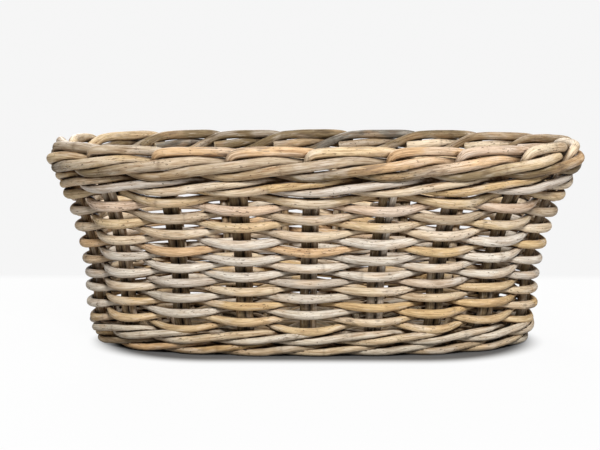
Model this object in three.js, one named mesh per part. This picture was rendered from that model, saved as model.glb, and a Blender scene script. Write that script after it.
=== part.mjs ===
// Open oval basket woven from rattan cane. Millimetres, +Z up, floor at z = 0, +X along the length.
// Places round the wall are counted in spaces: one space is the way from one stake to the next,
// counterclockwise seen from above, with 0 at the front centre stake.
import * as THREE from "three";

// Body
const stakeCount = 19;
const rowCount = 17;
const ovalPower = 2.6;
const footHalfLength = 172.5;
const footHalfDepth = 88.9;
const rimHalfLength = 223.5;
const rimHalfDepth = 141.5;
const rimShift = 4;

// Canes of the wall
const stakeRadius = 3.6;
const byeStakeRadius = 3;
const weaverFootDiameter = 5.6;
const weaverRimDiameter = 7;
const upperRodRadius = 3.4;
const lowerRodRadius = 2.7;
const lowerWaleRounds = 2;

// Canes of the base
const baseStickRadius = 2.6;
const baseCrossStickCount = 5;
const baseLongStickCount = 3;
const baseWeaverRadius = 2.9;
const baseRowGap = 0.8;
const baseMiddleHalfDepth = 26;
const baseFloorGap = 0.5;
const cornerPoints = 3;

// Clearances
const gap = 0.3;
const rowGap = 0.3;
const borderGap = 0.5;
const upperWaleLift = 1.2;
const borderLift = 1.6;
const straightness = 0.12;

// Counts and shares of the weave
const caneSides = 5;
const canesPerWale = 3;
const wallWeaverCount = 3;
const baseWeaverCount = 2;
const fineSteps = 4000;
const stationsPerSpace = 2;
const lowerRiseShare = 1.06;
const upperRiseShare = 1.12;
const roundNestShare = 0.96;
const upperUprightShare = 0.5;
const baseSwingShare = 1.05;
const baseStickShare = 0.35;
const pairFlatShare = 0.75;
const stepSpace = 9.5;

// Where the wall's profile bends: the share of the woven height, then the share of the flare
const weaveKnotShares = [
  [0, 0.2],
  [0.42, 0.3],
  [1, 0.655],
];

// How far each stake stands from its even place, at the foot and at the rim, in shares of a space
const driftShares = [
  [-0.07, -0.01],
  [-0.02, 0.05],
  [-0.03, -0.07],
  [-0.13, -0.1],
  [-0.08, -0.06],
  [0.02, 0.02],
  [0.05, 0.06],
  [0, 0.03],
  [-0.04, -0.05],
  [0.03, 0.02],
  [0.06, 0.05],
  [-0.02, 0],
  [-0.06, -0.04],
  [0.03, 0.04],
  [0.02, 0.05],
  [-0.1, 0.08],
  [-0.14, 0.05],
  [-0.16, 0.02],
  [-0.1, -0.01],
];

// One cane of the border from its stake on: spaces to the right, share of the reach out from the wall,
// share of the lift above the upper wale, share of the stake's own shift to the left
const borderPathShares = [
  [0, 0, 1.7, 1],
  [0.02, 0, 2.3, 0.7],
  [0.1, -0.08, 2.54, 0],
  [0.5, -0.62, 2.36, 0],
  [0.78, -0.92, 2.15, 0],
  [1, -1.08, 1.84, 0],
  [1.25, -0.74, 1.14, 0],
  [1.5, 0, 0.46, 0],
  [1.8, 0.9, 0.4, 0],
  [2, 1.06, 0.46, 0],
  [2.5, 1.06, 1.06, 0],
  [3, 1.03, 1.64, 0],
  [3.2, 0.72, 1.74, 0],
  [3.5, 0.02, 1.6, 0],
  [3.75, -0.7, 1.04, 0],
  [3.9, -1.04, 0.72, 0],
  [4.1, -1.04, 0.56, 0],
];

// One strand of a three rod wale over the three spaces that it repeats in:
// spaces, share of the reach out from the wall, share of the rise, side of the stake pair that it lies at
const walePathShares = [
  [0, -1, 0, -1],
  [0, -1, 0, 1],
  [0.5, 0, -1, 0],
  [1, 1, -1, -1],
  [1, 1, -1, 1],
  [1.5, 1, 0, 0],
  [2, 1, 1, -1],
  [2, 1, 1, 1],
  [2.5, 0, 1, 0],
];

// Sizes that follow
const flatShare = Math.cos(Math.PI / caneSides);
const stationCount = stakeCount * stationsPerSpace;
const stakeShift = byeStakeRadius + gap / 2;
const byeStakeShift = stakeRadius + gap / 2;
const pairFlat = (stakeRadius + byeStakeRadius) * pairFlatShare;
const flare = rimHalfLength - footHalfLength;
const lowerRise = (lowerRodRadius + gap / 2) * lowerRiseShare;
const upperRise = (upperRodRadius + gap / 2) * upperRiseShare;
const lowerRoundHeight = 2 * lowerRise + lowerRodRadius + lowerRodRadius * flatShare;
const upperRoundHeight = 2 * upperRise + upperRodRadius + upperRodRadius * flatShare;
const lowerRoundPitch = (lowerRoundHeight + gap) * roundNestShare;
const lowerWaleHeight = lowerRoundHeight + gap + (lowerWaleRounds - 1) * lowerRoundPitch;
const footSlope = (weaveKnotShares[0][1] * flare) / lowerWaleHeight;
const firstRoundZ = lowerRodRadius * flatShare + lowerRise;
const borderReach = 2 * stakeRadius + borderGap;
const borderHeight = Math.max(...borderPathShares.map((share) => share[2])) * borderReach + stakeRadius;

// Spaces from the start of the wall weaver, which starts and ends at the back
const strandStart = Math.ceil(stepSpace) - stakeCount;
const strandEnd = Math.floor(stepSpace) + stakeCount * (rowCount - 1);

function weaverDiameter(strand) {
  const share = (strand - strandStart) / (strandEnd - strandStart);
  return THREE.MathUtils.lerp(weaverFootDiameter, weaverRimDiameter, share);
}

// How high each row's centre lies above the lower wale
const rowDistances = [];
let woven = 0;
for (let row = 0; row < rowCount; row += 1) {
  const diameter = weaverDiameter(row * stakeCount);
  rowDistances.push(woven + diameter / 2);
  woven += diameter + rowGap;
}
const topHeight = upperWaleLift + upperRoundHeight + gap + borderLift + borderHeight;
const rimSlope = ((1 - weaveKnotShares.at(-1)[1]) * flare) / topHeight;

function power(value, exponent) {
  return Math.sign(value) * Math.abs(value) ** exponent;
}

function ovalPoint(angle, halfLength, halfDepth) {
  return new THREE.Vector2(
    halfLength * power(Math.sin(angle), 2 / ovalPower),
    -halfDepth * power(Math.cos(angle), 2 / ovalPower),
  );
}

// Points evenly spaced round the oval, from the front centre
function ovalStations(halfLength, halfDepth) {
  const points = [];
  for (let step = 0; step <= fineSteps; step += 1) {
    points.push(ovalPoint((step / fineSteps) * 2 * Math.PI, halfLength, halfDepth));
  }
  const lengths = [0];
  for (let step = 1; step <= fineSteps; step += 1) {
    lengths.push(lengths[step - 1] + points[step].distanceTo(points[step - 1]));
  }
  const stations = [];
  let step = 1;
  for (let station = 0; station < stationCount; station += 1) {
    const wanted = (lengths[fineSteps] * station) / stationCount;
    while (lengths[step] < wanted) {
      step += 1;
    }
    const share = (wanted - lengths[step - 1]) / (lengths[step] - lengths[step - 1]);
    stations.push(points[step - 1].clone().lerp(points[step], share));
  }
  return stations;
}

// Outward directions in plan, lengthened at each corner of the polygon so that an offset keeps its distance
function stationNormals(stations) {
  return stations.map((here, station) => {
    const before = here.clone().sub(stations.at(station - 1)).normalize();
    const after = stations[(station + 1) % stationCount].clone().sub(here).normalize();
    const along = before.clone().add(after).normalize();
    const length = 1 / along.dot(before);
    return new THREE.Vector2(along.y, -along.x).multiplyScalar(length);
  });
}

// The wall's profile, measured upright as far as the weave goes, and up its slope above that
function wallProfile() {
  const knots = [{ z: 0, distance: -lowerWaleHeight, flareShare: 0 }];
  for (const [heightShare, flareShare] of weaveKnotShares) {
    knots.push({ distance: heightShare * woven, flareShare });
  }
  knots.push({ distance: woven + topHeight, flareShare: 1 });
  for (const knot of knots.slice(1, -1)) {
    knot.z = lowerWaleHeight + knot.distance;
  }
  const outward = (1 - knots.at(-2).flareShare) * flare;
  knots.at(-1).z = knots.at(-2).z + Math.sqrt(topHeight ** 2 - outward ** 2);
  for (const knot of knots) {
    const halfLength = THREE.MathUtils.lerp(footHalfLength, rimHalfLength, knot.flareShare);
    const halfDepth = THREE.MathUtils.lerp(footHalfDepth, rimHalfDepth, knot.flareShare);
    knot.stations = ovalStations(halfLength, halfDepth);
    knot.normals = stationNormals(knot.stations);
    knot.stations.forEach((station) => {
      station.x += rimShift * knot.flareShare;
    });
    knot.halfLength = halfLength;
    knot.halfDepth = halfDepth;
  }
  return knots;
}
const profile = wallProfile();

function profileSegment(key, value) {
  let knot = 1;
  while (knot < profile.length - 1 && profile[knot][key] < value) {
    knot += 1;
  }
  const lower = profile[knot - 1];
  const upper = profile[knot];
  return { knot, lower, upper, share: (value - lower[key]) / (upper[key] - lower[key]) };
}

function heightAt(distance) {
  const { lower, upper, share } = profileSegment("distance", distance);
  return THREE.MathUtils.lerp(lower.z, upper.z, share);
}

// Where a place round the wall lies once the stakes stand unevenly
function drifted(space, flareShare) {
  const stake = Math.floor(space);
  const [near, far] = [stake, stake + 1].map((count) => {
    const [foot, rim] = driftShares[THREE.MathUtils.euclideanModulo(count, stakeCount)];
    return THREE.MathUtils.lerp(foot, rim, flareShare);
  });
  return space + THREE.MathUtils.lerp(near, far, space - stake);
}

function readKnot(knot, key, space) {
  const place = THREE.MathUtils.euclideanModulo(drifted(space, knot.flareShare), stakeCount) * stationsPerSpace;
  const station = Math.floor(place);
  return knot[key][station].clone().lerp(knot[key][(station + 1) % stationCount], place - station);
}

function segmentSlope(space, knot) {
  const lower = readKnot(profile[knot - 1], "stations", space);
  const upper = readKnot(profile[knot], "stations", space);
  const rise = profile[knot].z - profile[knot - 1].z;
  return new THREE.Vector3(upper.x - lower.x, upper.y - lower.y, rise).normalize();
}

// The direction up the wall, turned smoothly from one bend of the profile to the next
function knotSlope(space, knot) {
  const last = profile.length - 1;
  if (knot >= last - 1) {
    return segmentSlope(space, last);
  }
  const below = segmentSlope(space, Math.max(knot, 1));
  return below.add(segmentSlope(space, knot + 1)).normalize();
}

// The wall at one place: its middle, and the directions out, up and along. The directions lean as the wall
// does, or stand upright by a share, and then out is lengthened to keep its distance from the leaning wall.
function wallFrame(space, z, uprightShare = 0) {
  const { knot, lower, upper, share } = profileSegment("z", z);
  const plan = readKnot(lower, "stations", space).lerp(readKnot(upper, "stations", space), share);
  const normal = readKnot(lower, "normals", space).lerp(readKnot(upper, "normals", space), share);
  const level = new THREE.Vector3(normal.x, normal.y, 0);
  const vertical = new THREE.Vector3(0, 0, 1);
  const turn = THREE.MathUtils.clamp(share, 0, 1);
  const leaning = knotSlope(space, knot - 1).lerp(knotSlope(space, knot), turn).normalize();
  const up = leaning.clone().lerp(vertical, uprightShare).normalize();
  const out = level.clone().addScaledVector(up, -level.dot(up)).setLength(level.length() / up.dot(leaning));
  const along = new THREE.Vector3().crossVectors(vertical, level).normalize();
  return { middle: new THREE.Vector3(plan.x, plan.y, z), out, up, along };
}

function wallPoint(frame, out, up = 0, along = 0) {
  return frame.middle
    .clone()
    .addScaledVector(frame.out, out)
    .addScaledVector(frame.up, up)
    .addScaledVector(frame.along, along);
}

// Leaves out the points that a straight stretch of cane doesn't need
function straightened(path) {
  const kept = [path[0]];
  for (let step = 1; step < path.length - 1; step += 1) {
    const stretch = new THREE.Line3(kept.at(-1).point, path[step + 1].point);
    const nearest = stretch.closestPointToPoint(path[step].point, true, new THREE.Vector3());
    if (nearest.distanceTo(path[step].point) > straightness) {
      kept.push(path[step]);
    }
  }
  kept.push(path.at(-1));
  return kept;
}

// A closed cane along a path. Each step has a point, the direction that its section faces, and a radius.
function caneGeometry(path) {
  const positions = [];
  const last = path.length - 1;
  for (let step = 0; step <= last; step += 1) {
    const here = path[step].point;
    const before = here.clone().sub(path[Math.max(step - 1, 0)].point);
    const after = path[Math.min(step + 1, last)].point.clone().sub(here);
    const incoming = (step === 0 ? after : before).clone().normalize();
    const outgoing = (step === last ? before : after).clone().normalize();
    const along = incoming.clone().add(outgoing).normalize();
    const bend = outgoing.clone().sub(incoming).normalize();
    const stretch = 1 / along.dot(incoming) - 1;
    const facing = path[step].facing;
    const side = facing.clone().addScaledVector(along, -facing.dot(along)).normalize();
    const up = new THREE.Vector3().crossVectors(side, along);
    for (let corner = 0; corner < caneSides; corner += 1) {
      const angle = Math.PI / 2 - (corner / caneSides) * 2 * Math.PI;
      const offset = side.clone().multiplyScalar(Math.cos(angle) * path[step].radius);
      offset.addScaledVector(up, Math.sin(angle) * path[step].radius);
      offset.addScaledVector(bend, offset.dot(bend) * stretch);
      positions.push(...here.clone().add(offset).toArray());
    }
  }
  const faces = [];
  for (let step = 0; step < last; step += 1) {
    for (let corner = 0; corner < caneSides; corner += 1) {
      const next = (corner + 1) % caneSides;
      const near = step * caneSides;
      const far = near + caneSides;
      faces.push(near + corner, near + next, far + next);
      faces.push(near + corner, far + next, far + corner);
    }
  }
  const end = last * caneSides;
  for (let corner = 1; corner < caneSides - 1; corner += 1) {
    faces.push(0, corner + 1, corner);
    faces.push(end, end + corner, end + corner + 1);
  }
  const geometry = new THREE.BufferGeometry();
  geometry.setAttribute("position", new THREE.Float32BufferAttribute(positions, 3));
  geometry.setIndex(faces);
  geometry.computeVertexNormals();
  return geometry;
}

// Finishes
const stakeCane = new THREE.MeshStandardMaterial({ color: 0xb7a184, roughness: 0.75, metalness: 0 });
const byeStakeCane = new THREE.MeshStandardMaterial({ color: 0xa99377, roughness: 0.8, metalness: 0 });
const weaverCane = new THREE.MeshStandardMaterial({ color: 0xc3ad92, roughness: 0.75, metalness: 0 });
const waleCane = new THREE.MeshStandardMaterial({ color: 0xb9a58c, roughness: 0.75, metalness: 0 });
const baseCane = new THREE.MeshStandardMaterial({ color: 0xab9679, roughness: 0.8, metalness: 0 });

const basket = new THREE.Group();

function addCane(name, path, material) {
  const mesh = new THREE.Mesh(caneGeometry(straightened(path)), material);
  mesh.name = name;
  basket.add(mesh);
}

function copyName(name, index, count) {
  return `${name}_${String(index + 1).padStart(String(count).length, "0")}`;
}

// Heights of the bands above the rows
const upperWaleDistance = woven + gap + upperWaleLift + upperRise + upperRodRadius * flatShare;
const upperWaleZ = heightAt(upperWaleDistance);
const borderZ = heightAt(upperWaleDistance + upperRise + upperRodRadius + gap + borderLift);
const stakeFootZ = stakeRadius / 2;
const byeStakeTopZ = heightAt(upperWaleDistance + upperRise);

// The way up the wall that both canes of a stake pair share
function uprightPath(space, shift, radius, topZ) {
  const heights = [stakeFootZ, ...profile.map((knot) => knot.z).filter((z) => z > 0 && z < topZ)];
  if (topZ < borderZ) {
    heights.push(topZ);
  }
  return heights.map((z) => {
    const frame = wallFrame(space, z);
    return { point: wallPoint(frame, 0, 0, shift), facing: frame.out, radius };
  });
}

// Stakes, each bent over at the rim and woven into the border
function borderPath(space) {
  return borderPathShares.map(([spaces, outShare, upShare, shiftShare]) => {
    const frame = wallFrame(space + spaces, borderZ);
    const point = wallPoint(frame, outShare * borderReach, upShare * borderReach, -shiftShare * stakeShift);
    return { point, facing: frame.out, radius: stakeRadius };
  });
}

for (let stake = 0; stake < stakeCount; stake += 1) {
  const path = [...uprightPath(stake, -stakeShift, stakeRadius, borderZ), ...borderPath(stake)];
  addCane(copyName("stake", stake, stakeCount), path, stakeCane);
}
for (let stake = 0; stake < stakeCount; stake += 1) {
  const path = uprightPath(stake, byeStakeShift, byeStakeRadius, byeStakeTopZ);
  addCane(copyName("bye_stake", stake, stakeCount), path, byeStakeCane);
}

// The wall weaver goes round row after row, in front of one stake pair and behind the next.
// It climbs to the next row at the back, and is cut into canes that end behind a stake.
function weaverStep(strand, shift) {
  const row = Math.floor((strand - strandStart) / stakeCount);
  const frame = wallFrame(strand, heightAt(rowDistances[row]), 1);
  const radius = weaverDiameter(strand) / 2;
  const side = strand % 2 === 0 ? 1 : -1;
  const out = side * (stakeRadius + gap + radius);
  return { point: wallPoint(frame, out, 0, shift), facing: frame.out, radius };
}

// Cuts fall on odd places of the strand, where it runs behind a stake
function weaverCut(index) {
  const share = index / wallWeaverCount;
  const strand = Math.round(THREE.MathUtils.lerp(strandStart, strandEnd, share));
  return strand % 2 === 0 ? strand + 1 : strand;
}

for (let weaver = 0; weaver < wallWeaverCount; weaver += 1) {
  const first = weaverCut(weaver);
  const last = weaverCut(weaver + 1);
  const path = [];
  for (let strand = first; strand <= last; strand += 1) {
    path.push(weaverStep(strand, strand === first ? gap : -pairFlat));
    path.push(weaverStep(strand, strand === last ? -gap : pairFlat));
  }
  addCane(copyName("wall_weaver", weaver, wallWeaverCount), path, weaverCane);
}

// One round of wale: its strand goes three times round before it closes, and is cut into three rods.
// Each rod passes in front of two stakes and behind one, and ends behind a stake.
function addWaleRound(name, firstIndex, rodCount, z, radius, rise, startSpace, room, uprightShare) {
  const reach = stakeRadius + room + radius;
  for (let rod = 0; rod < canesPerWale; rod += 1) {
    const first = Math.floor((stakeCount * rod) / canesPerWale) * canesPerWale;
    const last = Math.floor((stakeCount * (rod + 1)) / canesPerWale) * canesPerWale;
    const path = [];
    for (let strand = first; strand < last; strand += canesPerWale) {
      for (const [spaces, outShare, upShare, pairSide] of walePathShares) {
        const isStart = strand === first && path.length === 0;
        const shift = isStart ? gap : pairSide * pairFlat;
        const frame = wallFrame(startSpace + strand + spaces, z, uprightShare);
        const point = wallPoint(frame, outShare * reach, upShare * rise, shift);
        path.push({ point, facing: frame.out, radius });
      }
    }
    const frame = wallFrame(startSpace + last, z, uprightShare);
    for (const shift of [-pairFlat, -gap]) {
      path.push({ point: wallPoint(frame, -reach, 0, shift), facing: frame.out, radius });
    }
    addCane(copyName(name, firstIndex + rod, rodCount), path, waleCane);
  }
}

const lowerRodCount = lowerWaleRounds * canesPerWale;
const lowerRoom = 2 * gap + lowerRise * footSlope;
for (let round = 0; round < lowerWaleRounds; round += 1) {
  const z = firstRoundZ + round * lowerRoundPitch;
  const start = -round * canesPerWale;
  const first = round * canesPerWale;
  addWaleRound("lower_wale_rod", first, lowerRodCount, z, lowerRodRadius, lowerRise, start, lowerRoom, 1);
}
const upperRoom = gap + upperRise * rimSlope * upperUprightShare;
addWaleRound(
  "upper_wale_rod",
  0,
  canesPerWale,
  upperWaleZ,
  upperRodRadius,
  upperRise,
  -canesPerWale,
  upperRoom,
  upperUprightShare,
);

// Base: long sticks side by side, cross sticks humped over them, and two weavers that chase each other
// in rings, one over a stick where the other is under it
const baseSwing = (baseStickRadius + baseWeaverRadius + gap) * baseSwingShare;
const baseZ = baseFloorGap + baseWeaverRadius + baseSwing;
const baseRowPitch = 2 * baseWeaverRadius + baseRowGap;
const stickPitch = 2 * baseStickRadius + gap;
const longGroupHalf = ((baseLongStickCount - 1) / 2) * stickPitch + baseStickRadius;

// The base's edge at the lowest rods, where the flat sides of the canes leave the gap between them
function baseInset() {
  const { lower, upper, share } = profileSegment("z", firstRoundZ);
  const lowerReach = (stakeRadius + lowerRoom + lowerRodRadius) * Math.hypot(1, footSlope);
  const inset = lowerReach + lowerRodRadius + baseWeaverRadius;
  return {
    halfLength: THREE.MathUtils.lerp(lower.halfLength, upper.halfLength, share) - inset,
    halfDepth: THREE.MathUtils.lerp(lower.halfDepth, upper.halfDepth, share) - inset,
  };
}
const baseEdge = baseInset();

// As many turns of both weavers as fit between the edge and the open middle
const baseTurns = Math.floor(((baseEdge.halfDepth - baseMiddleHalfDepth) / baseRowPitch + 1) / baseWeaverCount);
const baseRowCount = baseTurns * baseWeaverCount;

function ringHalves(ring) {
  const inset = (baseRowCount - 1 - ring) * baseRowPitch;
  return { halfLength: baseEdge.halfLength - inset, halfDepth: baseEdge.halfDepth - inset };
}

function crossingAngle(distance, half) {
  return Math.asin((distance / half) ** (ovalPower / 2));
}

// Half depth of an oval at a distance from its middle along its length
function depthAt(distance, halfLength, halfDepth) {
  return halfDepth * (1 - (distance / halfLength) ** ovalPower) ** (1 / ovalPower);
}

const innerRing = ringHalves(0);
const baseStickSpacing = innerRing.halfLength * baseStickShare;
const outermostStick = ((baseCrossStickCount - 1) / 2) * baseStickSpacing;
const humpFoot = depthAt(outermostStick, innerRing.halfLength, innerRing.halfDepth) - baseWeaverRadius;
const humpTop = longGroupHalf + gap;

for (let stick = 0; stick < baseLongStickCount; stick += 1) {
  const y = (stick - (baseLongStickCount - 1) / 2) * stickPitch;
  const end = baseEdge.halfLength + baseWeaverRadius;
  const path = [-end, end].map((x) => ({
    point: new THREE.Vector3(x, y, baseZ),
    facing: new THREE.Vector3(0, 1, 0),
    radius: baseStickRadius,
  }));
  addCane(copyName("base_long_stick", stick, baseLongStickCount), path, baseCane);
}

for (let stick = 0; stick < baseCrossStickCount; stick += 1) {
  const x = (stick - (baseCrossStickCount - 1) / 2) * baseStickSpacing;
  const end = depthAt(Math.abs(x), baseEdge.halfLength, baseEdge.halfDepth) + baseWeaverRadius;
  const path = [
    [-end, baseZ],
    [-humpFoot, baseZ],
    [-humpTop, baseZ + stickPitch],
    [humpTop, baseZ + stickPitch],
    [humpFoot, baseZ],
    [end, baseZ],
  ].map(([y, z]) => ({
    point: new THREE.Vector3(x, y, z),
    facing: new THREE.Vector3(1, 0, 0),
    radius: baseStickRadius,
  }));
  addCane(copyName("base_cross_stick", stick, baseCrossStickCount), path, baseCane);
}

// The crossings of one ring, as angles of the oval from the front centre, with the side taken at each
function ringCrossings(ring) {
  const { halfLength, halfDepth } = ringHalves(ring);
  const sticks = [];
  for (let stick = 0; stick <= (baseCrossStickCount - 1) / 2; stick += 1) {
    const angle = crossingAngle(stick * baseStickSpacing, halfLength);
    sticks.push({ angle, side: stick % 2 === 0 ? 1 : -1, atEnd: false });
  }
  const groupAngle = crossingAngle(longGroupHalf, halfDepth);
  const groupSide = -sticks.at(-1).side;
  const half = [
    ...sticks,
    { angle: Math.PI / 2 - groupAngle, side: groupSide, atEnd: true },
    { angle: Math.PI / 2 + groupAngle, side: groupSide, atEnd: true },
    ...sticks.slice(1).reverse().map((crossing) => ({ ...crossing, angle: Math.PI - crossing.angle })),
  ];
  return [...half, ...half.map((crossing) => ({ ...crossing, angle: crossing.angle + Math.PI }))];
}

// Each base weaver keeps to every other ring, and steps out by two rings in the back right corner
function baseWeaverPath(weaver) {
  const path = [];
  for (let turn = 0; turn < baseTurns; turn += 1) {
    const ring = turn * baseWeaverCount + weaver;
    const crossings = ringCrossings(ring);
    const start = crossings.findIndex(({ angle }) => angle > Math.PI / 2) + 1;
    for (let count = 0; count < crossings.length; count += 1) {
      const here = crossings[(start + count) % crossings.length];
      const next = crossings[(start + count + 1) % crossings.length];
      const isLast = count === crossings.length - 1;
      addRingPoint(path, ring, here.angle, here.side, weaver);
      if (here.atEnd === next.atEnd || (isLast && turn === baseTurns - 1)) {
        continue;
      }
      const nextAngle = here.angle < next.angle ? next.angle : next.angle + 2 * Math.PI;
      for (let point = 1; point <= cornerPoints; point += 1) {
        const share = point / (cornerPoints + 1);
        const angle = THREE.MathUtils.lerp(here.angle, nextAngle, share);
        addRingPoint(path, ring + (isLast ? share * baseWeaverCount : 0), angle, 0, weaver);
      }
    }
  }
  return path;
}

function addRingPoint(path, ring, angle, side, weaver) {
  const { halfLength, halfDepth } = ringHalves(ring);
  const plan = ovalPoint(angle, halfLength, halfDepth);
  const swing = side * (weaver % 2 === 0 ? 1 : -1) * baseSwing;
  path.push({
    point: new THREE.Vector3(plan.x, plan.y, baseZ + swing),
    facing: new THREE.Vector3(0, 0, 1),
    radius: baseWeaverRadius,
  });
}

for (let weaver = 0; weaver < baseWeaverCount; weaver += 1) {
  addCane(copyName("base_weaver", weaver, baseWeaverCount), baseWeaverPath(weaver), baseCane);
}

// The rim's middle, and so the whole box's, lies over the origin
basket.position.x = -rimShift;

export default basket;
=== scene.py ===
"""Open oval basket woven from rattan cane, dressed over its fixed frame. Metres, +Z up, floor at z = 0.

Places round the wall are counted in spaces: one space is the way from one stake to the next,
counterclockwise seen from above, with 0 at the front centre stake.
"""
import math

import bpy
import numpy as np
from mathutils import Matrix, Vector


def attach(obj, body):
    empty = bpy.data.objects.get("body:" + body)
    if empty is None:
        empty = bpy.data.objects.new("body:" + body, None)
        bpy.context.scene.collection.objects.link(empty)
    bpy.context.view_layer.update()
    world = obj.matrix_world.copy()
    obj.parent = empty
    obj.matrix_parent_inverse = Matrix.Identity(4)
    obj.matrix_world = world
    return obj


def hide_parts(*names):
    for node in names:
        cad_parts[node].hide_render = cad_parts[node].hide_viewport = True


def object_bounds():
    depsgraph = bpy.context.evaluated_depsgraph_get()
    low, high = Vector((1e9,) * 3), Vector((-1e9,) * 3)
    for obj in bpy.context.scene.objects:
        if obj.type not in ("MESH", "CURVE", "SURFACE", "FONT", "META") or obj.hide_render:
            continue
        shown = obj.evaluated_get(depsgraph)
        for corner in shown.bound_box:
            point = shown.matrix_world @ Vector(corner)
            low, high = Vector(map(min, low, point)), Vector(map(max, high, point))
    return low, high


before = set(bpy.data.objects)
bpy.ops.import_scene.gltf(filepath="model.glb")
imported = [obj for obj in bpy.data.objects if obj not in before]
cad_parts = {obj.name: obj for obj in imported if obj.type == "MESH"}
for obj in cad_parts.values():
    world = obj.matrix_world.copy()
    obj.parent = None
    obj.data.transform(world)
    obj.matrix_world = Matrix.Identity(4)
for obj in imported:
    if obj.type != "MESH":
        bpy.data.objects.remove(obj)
cad_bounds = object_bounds()

# Body, as in the frame
STAKE_COUNT = 19
ROW_COUNT = 17
OVAL_POWER = 2.6
FOOT_HALF_LENGTH = 0.1725
FOOT_HALF_DEPTH = 0.0889
RIM_HALF_LENGTH = 0.2235
RIM_HALF_DEPTH = 0.1415
RIM_SHIFT = 0.004

# Canes of the wall, as in the frame
STAKE_RADIUS = 0.0036
BYE_STAKE_RADIUS = 0.003
WEAVER_FOOT_DIAMETER = 0.0056
WEAVER_RIM_DIAMETER = 0.007
UPPER_ROD_RADIUS = 0.0034
LOWER_ROD_RADIUS = 0.0027
LOWER_WALE_ROUNDS = 2
CANES_PER_WALE = 3
WALL_WEAVER_COUNT = 3
FRAME_CANE_SIDES = 5
STEP_SPACE = 9.5

# Canes of the base, as in the frame
BASE_STICK_RADIUS = 0.0026
BASE_CROSS_STICK_COUNT = 5
BASE_LONG_STICK_COUNT = 3
BASE_WEAVER_RADIUS = 0.0029
BASE_WEAVER_COUNT = 2
BASE_ROW_GAP = 0.0008
BASE_MIDDLE_HALF_DEPTH = 0.026
BASE_FLOOR_GAP = 0.0005
BASE_SWING_SHARE = 1.05
BASE_STICK_SHARE = 0.35
CORNER_POINTS = 3

# Clearances, as in the frame
GAP = 0.0003
ROW_GAP = 0.0003
BORDER_GAP = 0.0005
UPPER_WALE_LIFT = 0.0012
BORDER_LIFT = 0.0016
LOWER_RISE_SHARE = 1.06
UPPER_RISE_SHARE = 1.12
ROUND_NEST_SHARE = 0.96
UPPER_UPRIGHT_SHARE = 0.5

# Where the wall's profile bends: the share of the woven height, then the share of the flare
WEAVE_KNOT_SHARES = ((0, 0.2), (0.42, 0.3), (1, 0.655))

# How far each stake stands from its even place, at the foot and at the rim, in shares of a space
DRIFT_SHARES = (
    (-0.07, -0.01), (-0.02, 0.05), (-0.03, -0.07), (-0.13, -0.1), (-0.08, -0.06), (0.02, 0.02), (0.05, 0.06),
    (0, 0.03), (-0.04, -0.05), (0.03, 0.02), (0.06, 0.05), (-0.02, 0), (-0.06, -0.04), (0.03, 0.04),
    (0.02, 0.05), (-0.1, 0.08), (-0.14, 0.05), (-0.16, 0.02), (-0.1, -0.01),
)

# One cane of the border from its stake on: spaces to the right, share of the reach out from the wall,
# share of the lift above the upper wale, share of the stake's own shift to the left
BORDER_PATH_SHARES = (
    (0, 0, 1.7, 1),
    (0.02, 0, 2.3, 0.7),
    (0.1, -0.08, 2.54, 0),
    (0.5, -0.62, 2.36, 0),
    (0.78, -0.92, 2.15, 0),
    (1, -1.08, 1.84, 0),
    (1.25, -0.74, 1.14, 0),
    (1.5, 0, 0.46, 0),
    (1.8, 0.9, 0.4, 0),
    (2, 1.06, 0.46, 0),
    (2.5, 1.06, 1.06, 0),
    (3, 1.03, 1.64, 0),
    (3.2, 0.72, 1.74, 0),
    (3.5, 0.02, 1.6, 0),
    (3.75, -0.7, 1.04, 0),
    (3.9, -1.04, 0.72, 0),
    (4.1, -1.04, 0.56, 0),
)

# One strand of a three rod wale over the three spaces that it repeats in:
# spaces, share of the reach out from the wall, share of the rise
WALE_PATH_SHARES = ((0, -1, 0), (0.5, 0, -1), (1, 1, -1), (1.5, 1, 0), (2, 1, 1), (2.5, 0, 1))

# Wall table
FINE_STEPS = 6000
STATIONS_PER_SPACE = 48
LEVEL_STEP = 0.002
LOWEST_LEVEL = -0.01
HIGHEST_LEVEL = 0.2

# Fineness of the canes
CANE_SIDES = 14
SAMPLE_STEP = 0.0024
DENSE_STEP = 0.0012
END_BEVEL = 0.0006
END_RADIUS_SHARE = 0.86
PATTERN_LENGTH = 50.0

# Unevenness of the canes
KNOT_SPACING = (0.14, 0.27)
KNOT_HALF_WIDTH = 0.0011
KNOT_END_ROOM = 0.003
KNOT_SWELLING_HALF_WIDTH = 0.0055
KNOT_SWELLING_SHARE = 0.06
RADIUS_SPREAD_SHARE = 0.06
RADIUS_WANDER_SHARE = 0.035
RADIUS_WANDER_SPACING = 0.045
PATH_WANDER_SPACING = 0.05
UNEVENNESS = 0.0003
BORDER_RADIUS_SHARE = 1.15
WEAVER_RADIUS_SHARE = 1.22
CROSSING_RADIUS_SHARE = 1.04
LOWER_ROD_RADIUS_SHARE = 1.1
STAKE_RADIUS_SHARE = 1.08
UPPER_ROD_RADIUS_SHARE = 1.06
SWING_SPREAD_SHARE = 0.07
ROW_WANDER = 0.0005
FLOOR_CLEARANCE = 0.0004
# Painted shade: canes darken towards the foot, by these shares of red, green and blue, up to this height
FOOT_PAINTED_SHADE_SHARES = (0.13, 0.17, 0.25)
FOOT_PAINTED_SHADE_HEIGHT = 0.1
SEED = 1907

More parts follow.
